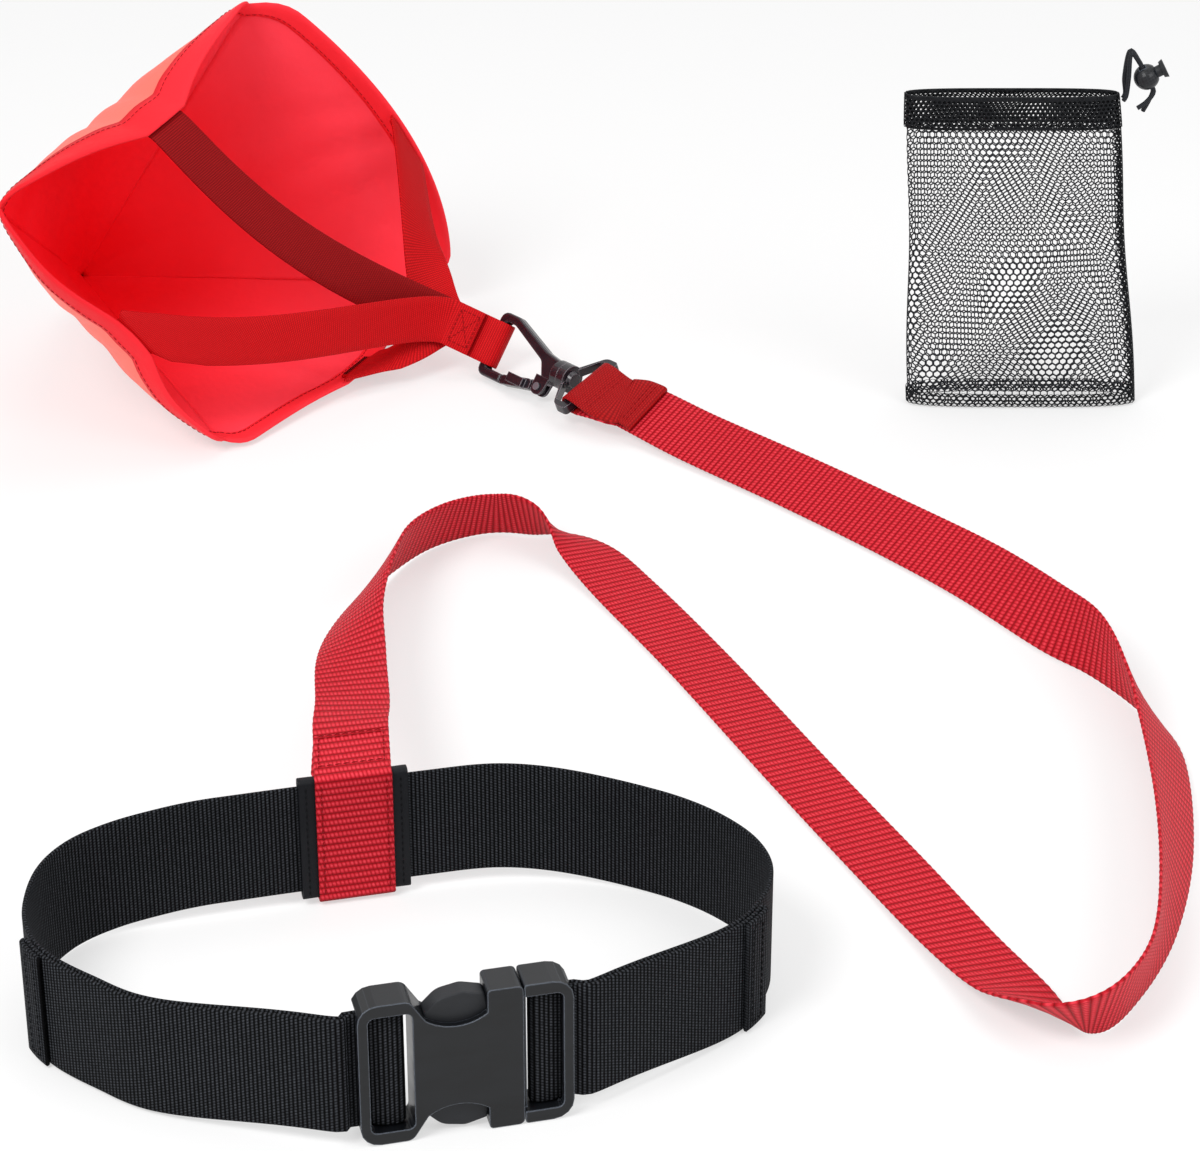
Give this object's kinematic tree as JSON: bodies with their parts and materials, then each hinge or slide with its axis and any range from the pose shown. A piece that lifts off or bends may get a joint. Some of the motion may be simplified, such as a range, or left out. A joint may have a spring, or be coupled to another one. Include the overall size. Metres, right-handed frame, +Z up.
{
  "type": "swim parachute",
  "caption": "Swim resistance parachute: square-mouthed drag chute on a strap bridle, swivel snap hook, long webbing tether, buckled waist belt and mesh storage bag.",
  "frame": {"origin": "on the floor, under the middle of the whole set's outline", "axes": "+Z up, -Y towards the viewer (the buckle's side), +X to the viewer's right; the belt stands on edge, the chute lies open on one corner"},
  "size_m": [0.606, 0.772, 0.1961],
  "materials": {
    "belt_webbing": "ribbed woven, matt",
    "buckle_plastic": "satin",
    "hook_plastic": "semi-gloss dark grey",
    "tether_webbing": "cross-ribbed woven",
    "bridle_webbing": "woven",
    "chute_cloth": "coated nylon, slight sheen",
    "sleeve_cloth": "smooth folded cloth",
    "bag_net": "hexagonal knitted mesh",
    "bag_cord": "braided"
  },
  "bodies": {
    "belt": {"belt_webbing_left": "belt_webbing", "buckle_socket": "buckle_plastic"},
    "plug_half": {"belt_webbing_right": "belt_webbing", "buckle_plug": "buckle_plastic"},
    "upper_prong": {"prong_upper": "buckle_plastic"},
    "lower_prong": {"prong_lower": "buckle_plastic"},
    "tether": {"sleeve": "sleeve_cloth", "tether_webbing": "tether_webbing", "swivel_base": "hook_plastic"},
    "hook": {"hook_body": "hook_plastic", "hook_gate_pin": "hook_plastic"},
    "gate": {"hook_gate": "hook_plastic"},
    "chute": {"chute_panel_lower_right": "chute_cloth", "chute_panel_upper_right": "chute_cloth", "chute_panel_upper_left": "chute_cloth", "chute_panel_lower_left": "chute_cloth", "mouth_hem": "chute_cloth", "bridle_loop": "bridle_webbing", "bridle_lower_right": "bridle_webbing", "bridle_upper_right": "bridle_webbing", "bridle_upper_left": "bridle_webbing", "bridle_lower_left": "bridle_webbing"},
    "storage_bag": {"bag_net": "bag_net", "bag_hem": "bag_net", "drawcord_front": "bag_cord", "drawcord_back": "bag_cord", "cord_lock_body": "buckle_plastic"},
    "lock_button": {"cord_lock_button": "buckle_plastic"}
  },
  "joints": [
    {"name": "buckle_release", "type": "slide", "parent": "belt", "child": "plug_half", "axis": [0.9703, 0.2419, 0], "range_m": [0, 0.034], "deforming": ["prong_upper", "prong_lower"]},
    {"name": "prong_upper_press", "type": "hinge", "parent": "plug_half", "child": "upper_prong", "pos_m": [-0.02303, -0.36597, 0.0485], "axis": [0.2419, -0.9703, 0], "range_deg": [0, 12], "stiffness_Nm_per_rad": 0.8},
    {"name": "prong_lower_press", "type": "hinge", "parent": "plug_half", "child": "lower_prong", "pos_m": [-0.02303, -0.36597, 0.0135], "axis": [-0.2419, 0.9703, 0], "range_deg": [0, 12], "stiffness_Nm_per_rad": 0.8},
    {"name": "sleeve_slide", "type": "slide", "parent": "belt", "child": "tether", "axis": [0.9703, 0.2419, 0], "range_m": [-0.005, 0.005]},
    {"name": "hook_swivel", "type": "hinge", "parent": "tether", "child": "hook", "pos_m": [0.0081, 0.24225, 0.017], "axis": [0.6691, -0.7431, 0], "continuous": true},
    {"name": "hook_gate_open", "type": "hinge", "parent": "hook", "child": "gate", "pos_m": [-0.01842, 0.2621, 0.00783], "axis": [0.6087, 0.5481, -0.5736], "range_deg": [0, 25], "stiffness_Nm_per_rad": 0.1},
    {"name": "chute_pivot", "type": "hinge", "parent": "hook", "child": "chute", "pos_m": [-0.04275, 0.29873, 0.017], "axis": [0.4263, 0.3838, 0.8192], "range_deg": [-8, 8]},
    {"name": "bag_lift", "type": "slide", "parent": "belt", "child": "storage_bag", "axis": [0, 0, 1], "range_m": [0, 0.1]},
    {"name": "cord_lock_press", "type": "slide", "parent": "storage_bag", "child": "lock_button", "axis": [-0.8829, 0, -0.4695], "range_m": [0, 0.0025], "stiffness_N_per_m": 600}
  ]
}
